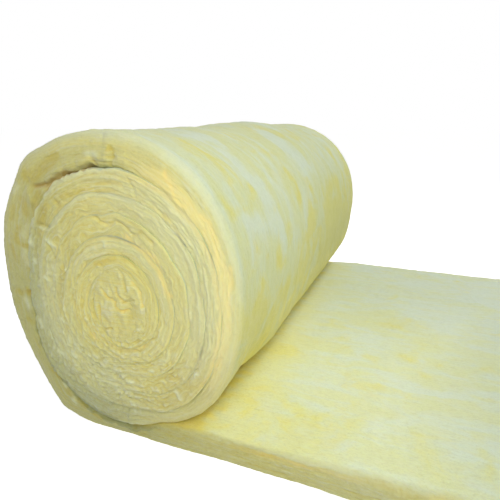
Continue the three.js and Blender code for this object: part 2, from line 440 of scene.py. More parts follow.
class Section:
    """The outline of a cross-section, as a closed ring of points.

    The ring starts on the outer face at the near end, runs inwards over the near end, back along
    the inner face to the far end, outwards over it, and along the outer face to where it started.
    Each point has a kind, the side it is on, and an angle at a corner or else a share.
    """

    def __init__(self, near_points, far_points, corner_points, outer_spacing, inner_spacing):
        self.rows = []
        self.end_stretch(-1, near_points, corner_points)
        self.face_stretch(INNER_FACE, inner_spacing)
        self.end_stretch(1, far_points, corner_points)
        self.face_stretch(OUTER_FACE, outer_spacing)

    def end_stretch(self, side, end_points, corner_points):
        arcs = [(k / corner_points) * math.pi / 2 for k in range(corner_points + 1)]
        stretch = [(OUTER_CORNER, side, arc) for arc in arcs]
        stretch += [(END, side, (k + 1) / (end_points + 1)) for k in range(end_points)]
        stretch += [(INNER_CORNER, side, arc) for arc in reversed(arcs)]
        self.rows += stretch if side < 0 else stretch[::-1]

    def face_stretch(self, kind, spacing):
        """Points between the two ends, closest near them: spacing is (at the ends, in the middle)."""
        half = [0]
        while half[-1] < HALF_WIDTH:
            half.append(half[-1] + lerp(*spacing, min(half[-1] / FINE_REACH, 1)))
        half = [h / half[-1] for h in half]
        shares = [-1 + h for h in half[1:]] + [1 - h for h in reversed(half[1:-1])]
        self.rows += [(kind, 0, share) for share in (shares if kind == INNER_FACE else shares[::-1])]

    def shape(self, thickness, outer_radius, inner_radius):
        """Depth, width, and how much each point faces outwards, inwards and to its end."""
        kind, side, value = np.array(self.rows, float).T[:, None]
        full = thickness[:, None]
        outer = np.minimum(outer_radius, ROUNDEST * thickness)[:, None]
        inner = np.minimum(inner_radius, ROUNDEST * thickness)[:, None]
        kinds = [kind == each for each in range(OUTER_FACE)]
        at_outer, at_end, at_inner, on_inner = kinds
        depths = [outer * (1 - np.cos(value)), lerp(outer, full - inner, value)]
        depths += [full - inner * (1 - np.cos(value)), full + 0 * value]
        depth = np.select(kinds, depths, 0 * full)
        inset = (1 - np.sin(value)) * np.select([at_outer, at_inner], [outer, inner], 0 * full)
        reach = HALF_WIDTH - np.where(on_inner, inner, outer)
        width = np.where(side == 0, value * reach, side * (HALF_WIDTH - inset))
        facing_out = np.select([at_outer, kind == OUTER_FACE], [np.cos(value), 1], 0)
        facing_in = np.select([at_inner, on_inner], [np.cos(value), 1], 0)
        facing_end = np.select([at_outer | at_inner, at_end], [np.sin(value), 1], 0) * side
        return np.broadcast_arrays(depth, width, facing_out, facing_in, facing_end)


# ---- where things are on the strip ----


def below(turn):
    """1 under the roll's axis, where the turns press on each other, 0 beside and over it."""
    return rise(0.15, 0.85, np.cos(2 * math.pi * turn))


def right_side(turn, start=GLUED_FROM):
    """1 on the right of the roll, where the binder has glued the turns together at the near end."""
    return rise(start, start + 0.08, turn % 1) * fall(0.8, 0.9, turn % 1)


def from_axis(turn, share):
    """How far out a point of the roll's end lies: 0 at the axis, 1 on the outside."""
    return 1 - np.clip((np.maximum(turn - 0.5, 0) + share) / TURN_COUNT, 0, 1)


def cracked(turn):
    """1 where the outer turn stands off the second one."""
    return rise(CRACK_START - CRACK_RISE, CRACK_START, turn) * fall(CRACK_END - CRACK_FALL, CRACK_END, turn)


def sagging(along, turn):
    """1 where the second turn's edge has sunk into the first layer under and beside it."""
    place = np.where(turn > 0.9, turn - 1, np.where(along < 0, along / length_at(1), turn))
    sunk = rise(-0.06, -0.01, place) * fall(0.1, 0.2, place)
    return np.maximum(sunk - swell(place, (0.75, 0.105, 0.024)), 0)


def slit(along, turn):
    """1 along the outer turn's lower left, where a thin gap opens under the second turn's edge."""
    return rise(-0.09, -0.01, along) * fall(0.2, 0.27, turn)


# ---- relief ----


def unrolled(marks):
    """Marks on the roll's outer face, with each turn changed to millimetres along the strip."""
    for spread, strength, *path in marks:
        yield spread, strength, *((1000 * length_at(turn), across) for turn, across in path)


def buckled_depth(along, turn, depth, share, seed):
    """Depth in the strip, with its layers buckled, more so towards the inner face."""
    inner_turns = rise(0.9, 2.2, turn)
    crinkled = lerp(0.6, 1, inner_turns) + swell(turn, (1.2, 3.47, 0.16)) + swell(turn, (0.9, 2.48, 0.14))
    amount = lerp(0.001, 0.0042, rise(0.05, 0.75, share)) * crinkled
    waves = noise(along / 0.06, depth / 0.034, 0.5, seed)
    kinks = ridged(along / 0.046, depth / 0.05, 0.2, seed + 1) * 3 - 1
    small = noise(along / 0.02, depth / 0.014, 0.5, seed + 2)
    return depth + amount * (1.2 * waves + 0.8 * kinks * inner_turns + 0.5 * small)


def crack_width(along, turn):
    """Ragged gap between the outer turn and the second one, at the near end."""
    ragged = ridged(along / 0.03, 0.3, 0.7, 30) + 0.3 * ridged(along / 0.012, 0.1, 0.2, 31)
    arches = sum(swell(turn, arch) for arch in CRACK_ARCHES)
    open_slit = SLIT_WIDTH * slit(along, turn) * (0.7 + ragged)
    return (CRACK_WIDTH + 0.002 * ragged + arches) * cracked(turn) + open_slit


def end_relief(along, turn, depth, share, near, marks):
    """How far the strip's two cut edges stand proud, and their cavities, 1 in a crease."""
    level = buckled_depth(along, turn, depth, share, 20 + 3 * ~near)
    seed = 40 + 7 * ~near
    wound = rise(0.9, 1.15, turn)
    low = rise(0.93, 1.03, turn) * below(turn)
    glued = right_side(turn) * (turn < 2)

    # layers, and thinner leaves between them
    layer = noise(along / 0.13, level / 0.0085, 0.3, seed)
    leaf = noise(along / 0.085, level / 0.004, 0.6, seed + 1)
    crease = hump(layer, 0, 0.11) * rise(-0.2, 0.5, noise(along / 0.05, level / 0.02, 0.2, seed + 2))
    leaf_crease = hump(leaf, 0, 0.14)
    leafy = lerp(0.45, 1, np.maximum(wound, along < 0))
    calm = 1 - 0.6 * (1 - wound) * hump(turn, 0.25, 0.16) - 0.35 * wound * right_side(turn)
    relief = 0.0018 * calm * layer - 0.0012 * calm * crease
    relief += leafy * calm * (0.0012 * leaf - 0.0008 * leaf_crease)
    cavity = calm * (0.6 * crease + leafy * (0.5 * leaf_crease - 0.35 * leaf) - 0.4 * layer)

    # lumps, crumbs and grains where the wool is torn
    lumps = lumpy(along / 0.026, level / 0.017, 0.2, seed + 3)
    crumbs = lumpy(along / 0.0115, level / 0.008, 0.9, seed + 4)
    grains = lumpy(along / 0.0065, level / 0.0052, 0.4, seed + 2)
    fuzz = fractal(along / 0.0085, depth / 0.006, 0.2, seed + 5)
    crumbly = 0.32 + 0.4 * (along < 0) * rise(0.1, 0.35, share) + 1.1 * low
    crumbly += 0.55 * wound * hump(turn % 1, 0.28, 0.12) + 0.25 * (1 - wound) * hump(turn, 0.25, 0.12)
    crumbly += 0.5 * cracked(turn - 1) * fall(0.1, 0.3, share)
    patchy = lerp(0.5, 1.15, rise(-0.3, 0.4, noise(along / 0.075, level / 0.032, 0.6, seed + 1)))
    patchy = lerp(1, patchy, low)
    relief += crumbly * patchy * (0.0048 * lumps + 0.0036 * crumbs) + 0.0007 * fuzz
    relief += 0.0026 * low * patchy * grains
    cavity = cavity - crumbly * (1.1 * lumps + 1.2 * crumbs) - 0.2 * fuzz
    ridges = lumpy(along / 0.036, level / 0.0075, 0.7, seed + 5)
    relief += 0.0036 * glued * ridges
    cavity -= 0.8 * glued * ridges

    # the form of each turn's edge
    clear = wound * (1 - 0.8 * low) * (1 - 0.5 * right_side(turn))
    hollow = rise(0.45, 1, share) * (1 + noise(along / 0.15, 0.2, 0.8, seed + 6))
    relief += clear * (0.002 * hump(share, 0.22, 0.2) - 0.0022 * hollow)
    fused = right_side(turn, FUSED_FROM)
    flush = rise(0.4, 0.95, share) * (1 - wound)
    flush -= 0.15 * fall(0, 0.45, share) * (turn > 1) * (turn < 2)
    relief += FLUSH * fused * flush * near
    relief += lerp(0.002, 0.0045, turn > 0) * noise(along / 0.1, depth / 0.055, 0.6, seed + 6)
    relief += swell(along, (0.007, -0.58, 0.13)) * near

    # a groove at the lower left, where the second turn stands proud of the first, and the marks
    groove = rise(0.76, 1, share) * rise(-0.1, 0.02, along) * fall(0.34, 0.42, turn)
    relief = relief - 0.008 * marks["tear"] - 0.0035 * marks["crease"] + 0.003 * marks["tuft"]
    relief = relief + 0.006 * marks["puff"] - 0.004 * groove
    cavity += 0.7 * marks["crease"] + 0.6 * groove
    return relief, level, np.clip(cavity, -1, 1)


def face_relief(along, width, seed):
    """The gentle unevenness of the strip's two broad faces."""
    warp = 0.02 * noise(along / 0.09, width / 0.11, 0.3, seed + 4)
    broad = 0.0045 * noise(along / 0.26, width / 0.19, 0.4, seed)
    streaks = 0.0011 * fractal(along / 0.11, (width + warp) / 0.048, 0.7, seed + 1)
    puffs = 0.0018 * lumpy(along / 0.06, width / 0.045, 0.1, seed + 3)
    fine = 0.001 * fractal(along / 0.022, width / 0.014, 0.1, seed + 2)
    return broad + streaks + puffs + fine


def top_swelling(turn, width):
    """The broad hump on top of the roll, its raised near end, and the fuller heel there."""
    on_top = swell(width, (0.014, 0.08, 0.16)) + swell(width, (0.0045, -0.6, 0.1))
    heel = swell(turn, (0.006, 0.07, 0.038)) * rise(-0.2, -0.55, width)
    past_waist = FULLER * rise(WAIST, WAIST + 0.17, width)
    contact = past_waist - WAIST_DEPTH * hump(width, WAIST, 0.08)
    return on_top * hump(turn, 0.487, 0.09) + heel + contact * hump(turn, 0.86, 0.055)


# ---- colour, as fields over the strip ----


def heading(turn):
    """How far a point of the winding lies to the right of the axis and above it, 0 on the flat."""
    return np.moveaxis(np.where(turn[..., None] > 0, direction(turn), 0), -1, 0)


def in_slit(along, turn):
    """1 in the slit, and weaker to the right of the axis."""
    return slit(along, turn) * lerp(0.3, 1, rise(-0.03, 0.02, along))


def tints(level, along, turn, depth, share, width, near, facing_out, facing_in, on_end, marks):
    """Where the cut edges are orange from the binder, pale, partly as a painted highlight, or brown in the
    crack, and the brown painted shade in the slit and by the contact.
    """
    wavy = 0.12 * noise(along / 0.07, 0.4, 0.1, 80) + 0.06 * noise(along / 0.018, 0.4, 0.1, 84)
    to_right, to_top = heading(turn)
    far_out = from_axis(turn, share)
    on_second = (turn > 1) * (turn < 2)

    # orange along the seams that the binder has fused, and in a broken line on the flat's side
    under_outer = 0.75 * right_side(turn) * (turn < 1) * rise(0.35, 0.7, share + wavy)
    under_outer *= 1 - 0.5 * ridged(along / 0.03, level / 0.006, 0.5, 83)
    along_second = 0.8 * right_side(turn) * on_second * fall(0.05, 0.35, share + wavy)
    over_fifth = swell(turn, (0.6, 4.62, 0.14)) * fall(0.1, 0.35, share + wavy)
    seams = 0.3 * rise(0.8, 1, share + wavy) * (1 - below(turn)) * (along >= 0)
    layer_line = lerp(0.84, 0.95, rise(0.3, 0.7, -along)) + 0.45 * wavy
    off_roll = rise(0.12, 0.32, -along)
    broken = np.clip(0.6 + 0.8 * noise(along / 0.055, 0.2, 0.6, 85), 0.3, 1)
    flat_line = off_roll * broken * hump(share, layer_line - 0.06, 0.11)
    orange = most(under_outer, along_second, over_fifth, seams, flat_line, marks["orange"])

    # pale on the rims, where light falls on them, and at the lower left
    second = 0.45 * rise(1.15, 1.3, turn) * fall(1.46, 1.54, turn)
    third = swell(turn, (0.4, 2.4, 0.15))
    rim = fall(0.007, 0.014, depth + 0.004 * noise(along / 0.05, 0.2, 0.9, 81))
    fifth = swell(turn, (0.3, 4.6, 0.3)) * hump(share + wavy, 0.42, 0.3)
    top_rim = 0.6 * off_roll * rise(0, 0.05, share - layer_line)
    far_off = 0.18 * rise(0.3, 0.5, -along)
    pale = most(np.maximum(second, third) * rim, fifth, top_rim, marks["tuft"], far_off)
    # painted highlight: paler to the right and above, and on the near rim's upper right
    lit = 0.4 * np.clip(to_right + 0.4 * to_top * (turn > 1), 0, 1) * fall(2.5, 4.5, turn)
    lit_rim = 0.9 * hump(turn, 0.62, 0.15) * fall(0.1, 0.32, share) * near
    pale = np.maximum(pale + (1 - pale) * lit, lit_rim)
    # paler, greyer wool that goes with the painted shade at the lower left
    low_left = rise(0, 0.75, -0.7 * to_right - 0.55 * to_top) * (turn > 0.9)
    pale += 0.36 * (1 - pale) * low_left * rise(0.22, 0.6, far_out)

    # brown in the crack; brown painted shade in the slit, on the sunk edge, at the lower right, and where
    # the roll lies on the flat stretch
    ragged = 0.05 * noise(along / 0.02, width / 0.02, 0.4, 82)
    # share past which the outer turn is brown, along the crack
    crack_brown_from = lerp(0.9, 0.95, rise(0.44, 0.47, turn))
    above = 0.9 * (turn < 1) * rise(crack_brown_from, crack_brown_from + 0.05, share + 0.5 * ragged)
    under = 0.7 * on_second * fall(0, 0.045, share + ragged)
    crack = cracked(turn % 1) * (above + under) * near
    # painted shade, in brown: darker at the lower right of the end
    low_right = 0.17 * hump(turn % 1, 0.87, 0.08) * rise(0.4, 0.75, far_out) * (turn > 0) * on_end
    # painted shade, in brown: in the slit, and along the sunk edge of the second turn
    slit_shade = 0.6 * in_slit(along, turn) * rise(0.95, 0.99, share) * near
    sunk = 0.5 * sagging(along, turn) * rise(1, 1.04, turn) * fall(0, 0.04, share) * near
    # painted shade, in brown: where the roll's outer turn meets the flat stretch, on both
    touching = facing_out * (turn < 1) * rise(CONTACT_TURN - 0.01, CONTACT_TURN, turn + 0.1 * ragged)
    contact = CONTACT_X + 0.016 * rise(-0.27, -0.16, width) + 0.01 * rise(-0.38, -0.46, width)
    touched = facing_in * (along < 0) * fall(contact, contact + 0.007, -along + 0.1 * ragged)
    touched *= 0.45 + swell(width, (0.35, -0.31, 0.07))
    touched *= lerp(0.3, 1, rise(0, 0.16, HALF_WIDTH - np.abs(width)))
    brown = most(crack, 0.9 * marks["tear"], low_right, slit_shade, sunk, 0.3 * touching, touched)
    return np.stack([orange * on_end, pale * on_end, brown], axis=-1)


def stains_and_painted_light(along, turn, depth, share, width, near, facing_out, facing_in, on_end, marks):
    """Binder stains (1 yellow, -1 whitish), with some painted highlight and glow among them, the painted
    gold glow by the contact, and painted shade on the wool.
    """
    from_end = HALF_WIDTH - np.abs(width)
    ragged = 0.03 * noise(along / 0.03, width / 0.02, 0.2, 99)
    far_off = np.maximum(rise(-0.4, 0.4, width), rise(0.45, 0.82, -along))

    on_roll = marked(along, width, unrolled(OUTER_YELLOWS), 9, 95)
    on_roll -= marked(along, width, unrolled(OUTER_WHITES), 12, 96)
    far_low = rise(-0.2, 0.25, width + 0.9 * ragged) * rise(0.62, 0.73, turn)
    on_roll += np.maximum(0.75 * rise(0.68, 0.78, turn), 1.3 * far_low)
    # painted highlight: whitish along the near rim at the upper right
    on_roll -= 0.9 * fall(0.01, 0.035, from_end) * hump(turn, 0.62, 0.14) * near
    on_flat = marked(-along, width, FLAT_YELLOWS, 8, 97) - marked(-along, width, FLAT_WHITES, 12, 98)
    # painted glow: yellower on the flat near the roll; and whiter far off, along with the painted shade
    # there
    on_flat = 0.75 * on_flat + 0.35 * fall(0.16, 0.32, -along) - 0.35 * far_off
    stain_and_painted_light = facing_out * on_roll * (turn < 1) + facing_in * on_flat * (along < 0) + on_end * marks["yellow"]
    # gold: painted glow of light in the shade by the contact, on the flat beside it and low on the roll's
    # right
    beside = 0.2 * fall(0.16, 0.34, -along) + 0.7 * fall(0.14, 0.2, -along + ragged)
    gold = facing_in * beside * (along < 0) + facing_out * rise(0.77, 0.91, turn + ragged) * (turn < 1)

    # shade on the cut edges: low and to the left, in the groove there, and by the floor
    to_right, to_top = heading(turn)
    far_out = from_axis(turn, share)
    from_second = depth / np.maximum(share, 0.02) - depth
    reach = lerp(0.004, 0.006, rise(0, 0.12, turn)) - 0.15 * ragged
    groove = fall(reach, reach + 0.006, from_second) * rise(-0.12, 0, along)
    groove *= (1 - 0.7 * rise(0.22, 0.27, turn)) * fall(0.3, 0.36, turn)
    turned_edge = fall(0.1, 0.2, share) * rise(1, 1.04, turn) * fall(1.22, 1.3, turn)
    at_left = rise(0, 0.8, -0.9 * to_right - 0.26 * to_top + 0.19 * np.abs(to_top))
    turned_away = 0.22 * rise(0.28, 0.48, far_out) + 0.5 * rise(0.6, 0.9, far_out)
    turned_away *= at_left * rise(0.9, 1, turn)
    underneath = 0.16 * below(turn) * (1 - at_left) * rise(0.5, 0.78, far_out) * (turn > 0.75)
    outer_left = swell(turn, (0.64, 0.22, 0.19))
    on_floor = 0.6 * rise(-0.3, -0.05, along) * fall(0.2, 0.3, turn)
    flat_side = 0.5 - 0.1 * rise(0.1, 0.25, -along) + 0.06 * rise(0.35, 0.6, -along)
    on_top = swell(turn, (0.18, 0.47, 0.08)) * rise(0.25, 0.6, share) + swell(turn, (0.14, 0.39, 0.05))
    outer_turn = most(outer_left, on_floor, flat_side * (along < 0)) + on_top
    edges = np.maximum(turned_away + underneath, outer_turn) + (0.85 * groove + 0.55 * turned_edge) * near
    # and on the two broad faces: low on the roll, beside it, and far off on the flat
    underside = 0.3 * rise(0.42, 0.6, turn) * fall(0.78, 0.9, turn) * rise(-0.4, 0.3, width)
    by_roll = lerp(0.1, 0.3, rise(-0.4, -0.2, width)) * fall(0.15, 0.28, -along)
    shade = on_end * (1 - 0.8 * marks["tuft"]) * edges + facing_out * underside
    shade += facing_in * np.maximum(0.45 * far_off, by_roll)
    shade = np.minimum(shade + in_slit(along, turn) * near * rise(0.92, 0.97, share), 1)
    return np.stack([stain_and_painted_light, gold, shade], axis=-1)


# ---- the pieces ----


def ring_object(name, rings, fields):
    """A mesh from rings of points. The first and last ring are tucked in, and a fan closes each."""
    count, around = rings.shape[:2]
    first = np.arange(count - 1)[:, None] * around
    last = (count - 1) * around
    here = np.arange(around)
    after = (here + 1) % around
    middle = np.full(around, count * around)
    quads = [first + here, first + after, first + around + after, first + around + here]
    faces = np.stack(quads, axis=-1).reshape(-1, 4).tolist()
    smooth = np.zeros(len(faces) + 2 * around, bool)
    smooth[around:len(faces) - around] = True
    faces += np.stack([middle, after, here], axis=-1).tolist()
    faces += np.stack([middle + 1, last + here, last + after], axis=-1).tolist()

    def with_middles(values):
        return np.concatenate([values.reshape(-1, 3), values[[0, -1]].mean(axis=1)])

    mesh = bpy.data.meshes.new(name)
    mesh.from_pydata(with_middles(rings).tolist(), [], faces)
    mesh.polygons.foreach_set("use_smooth", smooth)
    corners = np.zeros(len(mesh.edges) * 2, np.int64)
    mesh.edges.foreach_get("vertices", corners)
    ring_of = corners.reshape(-1, 2) // around
    sharp = mesh.attributes.new("sharp_edge", "BOOLEAN", "EDGE")
    sharp.data.foreach_set("value", (ring_of == 1).all(axis=1) | (ring_of == count - 2).all(axis=1))
    for field, values in fields.items():
        attribute = mesh.attributes.new(field, "FLOAT_VECTOR", "POINT")
        attribute.data.foreach_set("vector", with_middles(values).astype(np.float32).ravel())
    mesh.update()
    made = bpy.data.objects.new(name, mesh)
    bpy.context.scene.collection.objects.link(made)
    return made


def corner_radii(stations):
    """Rounding of the outer and the inner edge: broad outside the roll, tight between turns."""
    turn = stations.turn
    leaving = rise(0.07, 0.2, turn) * fall(0.86, 1, turn)
    fused = right_side(turn, FUSED_FROM)
    tight = lerp(lerp(0.0045, 0.003, below(turn)), 0.0012, fused)
    tight += 0.004 * rise(1, 1.1, turn) * fall(1.38, 1.52, turn)
    outer = lerp(0.005, tight, rise(0.86, 1.05, turn)) + 0.019 * leaving
    pressed = lerp(lerp(0.009, 0.0035, rise(0.9, 1.1, turn)), 0.0012, fused * (turn < 1))
    beside = rise(0.05, 0.22, -stations.along)
    return outer, lerp(pressed, lerp(0.012, 0.027, rise(0.35, 0.8, -stations.along)), beside)


def wool_piece(name, start, end, spacing, section):
    """A closed stretch of the strip, with its place in the strip kept for the material."""
    stations = Stations(start, end, spacing)
    along = stations.along[:, None]
    turn = stations.turn[:, None]
    full = stations.thickness[:, None]
    shape = section.shape(stations.thickness, *corner_radii(stations))
    depth, width, facing_out, facing_in, facing_end = shape
    share = np.clip(depth / full, 0, 1)
    near = width < 0
    from_end = HALF_WIDTH - np.abs(width)
    at_edge = fall(0, EDGE_DEPTH, from_end)

    # the turns' edges, out of place at the near end
    crack = crack_width(along, turn) * fall(0, CRACK_DEPTH, from_end) * near
    depth *= 1 - crack / full
    sunk = (SAG * sagging(along, turn) + swell(turn, LIFT)) * at_edge * near
    depth -= sunk * np.where(turn > 0.9, 1 - share, share)
    nibbles = ridged(along / 0.013, 0.3, 0.5, 34) + 0.8 * ridged(along / 0.034, 0.2, 0.8, 35)
    nibbles = nibbles * rise(1.03, 1.1, turn) * fall(1.49, 1.53, turn)
    depth += NIBBLES * nibbles * at_edge * (1 - share) * near

    # the marks on the near end
    on_end = np.abs(facing_end)
    spot = np.nonzero(near * on_end * stations.wound[:, None])
    x, z = np.moveaxis(stations.at(depth), -1, 0)
    marks = {}
    for kind, paths in NEAR_END_MARKS.items():
        marks[kind] = np.zeros(depth.shape)
        marks[kind][spot] = on_end[spot] * marked(x[spot], z[spot] - AXIS_HEIGHT, paths, 2.5, 100)

    # relief
    relief, level, cavity = end_relief(along, turn, depth, share, near, marks)
    on_flat = rise(0.1, 0.2, -along)
    uncovered = fall(0.95, 1.05, turn) * (1 - on_flat)
    outwards = facing_out * (face_relief(along, width, 60) + top_swelling(turn, width)) * uncovered
    droop = DROOP * fall(0, DROOP_WIDTH, from_end)
    inwards = facing_in * (face_relief(along, width, 70) - droop) * on_flat

    def placed(deep, wide):
        x, z = np.moveaxis(stations.at(deep), -1, 0)
        y = wide + STRIP_MIDDLE - stations.shift[:, None]
        return np.stack([x + AXIS_X, y, np.maximum(z, cad_box[0].z)], axis=-1)

    rings = placed(depth - outwards + inwards, width + facing_end * relief)
    tucked = placed(lerp(depth, full / 2, 0.5), width * 0.97)
    place = (along, turn, depth, share, width, near, facing_out, facing_in, on_end, marks)
    drawn_out = 1 - 0.55 * (turn < 1) * hump(turn, 0.25, 0.16)
    fields = {
        "strip": np.stack([along + 0 * depth, level * drawn_out, width], axis=-1),
        "tone": np.stack([on_end * cavity, at_edge * on_end, facing_in], axis=-1),
        "tint": tints(level, *place),
        "stain_and_painted_light": stains_and_painted_light(*place),
    }
    fields = {field: np.concatenate([values[:1], values, values[-1:]]) for field, values in fields.items()}
    return ring_object(name, np.concatenate([tucked[2:3], rings, tucked[-3:-2]]), fields)


EYE_CENTRE = (0.012, 0)
EYE_HALF = (0.071, 0.09)
EYE_PROUD = 0.0021  # how far the wad stands out of the end
EYE_TUCK = -0.03  # and where its hidden skirt ends
EYE_PIT = ((0.041, 0.009), (0.002, 0.022))  # place and spread of a hollow, in x and in z
EYE_ALONG = 12  # where the material's patterns take it to lie in the strip, past its inner end
FOLD_CREASE = 3  # half width of the crease along a fold, in millimetres
FOLD_RIDGE = 8.5  # and of the ridges beside it
# The innermost wool is folded on itself: its folds at the near end, as points (x, z) in
# millimetres from the roll's axis, with how orange each one is.
EYE_FOLDS = (
    (((-21, 33), (-10, 18), (7, 8), (11, -4), (25, -8), (36, -2)), 0.55),
    (((14, 40), (15, 24), (25, 13), (40, 16), (48, 21)), 0.3),
    (((46, 65), (61, 48), (68, 30), (70, 12)), 0.7),
    (((21, 82), (28, 66), (34, 49), (34, 37)), 0.2),
    (((-30, -4), (-35, -26), (-33, -47), (-22, -53), (-6, -48)), 0.2),
)


def eye_piece(name, side, rings):
    """The folded wool that fills the eye, as a domed wad set into one end of the roll."""
    around = 4 * rings
    radius = np.concatenate([np.linspace(1, rings, rings) / rings, [1]])[::-1, None]
    angle = (np.arange(around) / around * 2 * math.pi)[None] * -side
    wobble = 1 + 0.05 * noise(np.cos(angle), np.sin(angle), 0.5, 90)
    x = EYE_CENTRE[0] + EYE_HALF[0] * radius * np.cos(angle) * wobble
    z = EYE_CENTRE[1] + EYE_HALF[1] * radius * np.sin(angle) * wobble
    seen_x, seen_z = (x, z) if side < 0 else (2 * EYE_CENTRE[0] - x, -z)
    seed = 92 + 5 * (side > 0)
    warped_x = 1000 * (seen_x + 0.003 * noise(x / 0.016, z / 0.016, 0.3, seed))
    warped_z = 1000 * (seen_z + 0.003 * noise(x / 0.016, z / 0.016, 0.8, seed))
    folds = [near_path(warped_x, warped_z, path, FOLD_CREASE) for path, orange in EYE_FOLDS]
    crease = most(*folds)
    ridges = [near_path(warped_x, warped_z, path, FOLD_RIDGE) for path, orange in EYE_FOLDS]
    ridge = most(*ridges) - crease
    lumps = lumpy(x / 0.026, z / 0.034, 0.2, seed + 1)
    crumbs = lumpy(x / 0.011, z / 0.014, 0.4, seed + 2)
    pit = hump(seen_x, *EYE_PIT[0]) * hump(seen_z, *EYE_PIT[1])
    relief = EYE_PROUD + 0.0022 * ridge - 0.0042 * crease + 0.0056 * lumps + 0.0028 * crumbs - 0.006 * pit
    relief = relief + 0.004 * (1 - radius**2) - 0.016 * rise(0.72, 1, radius) ** 2
    relief += 0.0006 * fractal(x / 0.007, z / 0.007, 0.1, seed + 3)
    relief[0] = EYE_TUCK
    end = STRIP_MIDDLE - TELESCOPE + side * HALF_WIDTH
    points = np.stack([x + AXIS_X, end + side * relief, z + AXIS_HEIGHT], axis=-1)
    cavity = np.clip(crease + 0.7 * pit - 1.2 * lumps - 0.8 * crumbs, -1, 1)
    orange = most(*(fold * orange for fold, (path, orange) in zip(folds, EYE_FOLDS)))
    ones = np.ones_like(x)
    fields = {
        "strip": np.stack([seen_x * 1.2 + EYE_ALONG, seen_z * 1.2, side * HALF_WIDTH * ones], axis=-1),
        "tone": np.stack([cavity, ones, 0 * ones], axis=-1),
        "tint": np.stack([orange, 0.25 * ridge, 0 * ones], axis=-1),
        "stain_and_painted_light": np.zeros(points.shape),
    }
    return ring_object(name, points, fields)


# ---- material ----


class Nodes:
    """A short way to write a node tree."""

    def __init__(self, tree):
        self.tree = tree

    def fill(self, node, inputs):
        """Set a node's inputs to values, or link them to sockets."""
        for key, value in inputs.items():
            if isinstance(value, bpy.types.NodeSocket):
                self.tree.links.new(value, node.inputs[key])
            else:
                node.inputs[key].default_value = value
        return node

    def add(self, kind, inputs, **settings):
        node = self.tree.nodes.new(kind)
        for key, value in settings.items():
            setattr(node, key, value)
        return self.fill(node, inputs)

    def math(self, operation, a, b):
        return self.add("ShaderNodeMath", {0: a, 1: b}, operation=operation).outputs[0]

    def times(self, a, b):
        return self.math("MULTIPLY", a, b)

    def ramp(self, value, low, high):
        """0 below low, 1 above high, smooth between."""
        inputs = {"Value": value, "From Min": low, "From Max": high}
        return self.add("ShaderNodeMapRange", inputs, interpolation_type="SMOOTHSTEP").outputs["Result"]

    def field(self, name):
        """The vector that the mesh holds under a name, and its three parts."""
        vector = self.add("ShaderNodeAttribute", {}, attribute_name=name).outputs["Vector"]
        return vector, self.add("ShaderNodeSeparateXYZ", {0: vector}).outputs[:]

    def noise(self, vector, scale, detail, rough, distortion=0):
        scaled = self.add("ShaderNodeVectorMath", {0: vector, 1: scale}, operation="MULTIPLY").outputs[0]
        inputs = {"Vector": scaled, "Scale": 1, "Detail": detail, "Roughness": rough}
        inputs["Distortion"] = distortion
        return self.add("ShaderNodeTexNoise", inputs).outputs["Fac"]

    def mix(self, share, a, b):
        blend = "MULTIPLY" if b in (SHADED, THIN) else "MIX"
        node = self.add("ShaderNodeMix", {0: share, 6: a, 7: b}, data_type="RGBA", blend_type=blend)
        return node.outputs[2]

    def seen(self, strength):
        """A strength for rays from the camera, also through gloss and glass, and 0 for all others."""
        rays = self.add("ShaderNodeLightPath", {}).outputs
        seen = self.math("MAXIMUM", rays["Is Camera Ray"], rays["Is Glossy Ray"])
        return self.times(self.math("MAXIMUM", seen, rays["Is Transmission Ray"]), strength)


WHITE = (0.8, 0.89, 0.67, 1)
CREAM = (0.82, 0.87, 0.49, 1)
LEMON = (0.85, 0.84, 0.31, 1)
OUTER_WHITE = (0.61, 0.7, 0.5, 1)
OUTER_CREAM = (0.61, 0.66, 0.31, 1)
OUTER_LEMON = (0.66, 0.64, 0.15, 1)
# GOLD is the painted glow of light scattered through the wool, in the shade by the contact
GOLD = (0.98, 0.85, 0.12, 1)
WOOL = (0.8, 0.745, 0.285, 1)
PALE_WOOL = (0.8, 0.8, 0.54, 1)
YELLOW = (0.74, 0.62, 0.14, 1)
ORANGE = (1, 0.8, 0.24, 1)
BROWN = (0.5, 0.36, 0.08, 1)
SHADED = (0.5, 0.55, 0.6, 1)  # multiplied in
THIN = (0.8, 0.8, 0.78, 1)  # also, between fibres


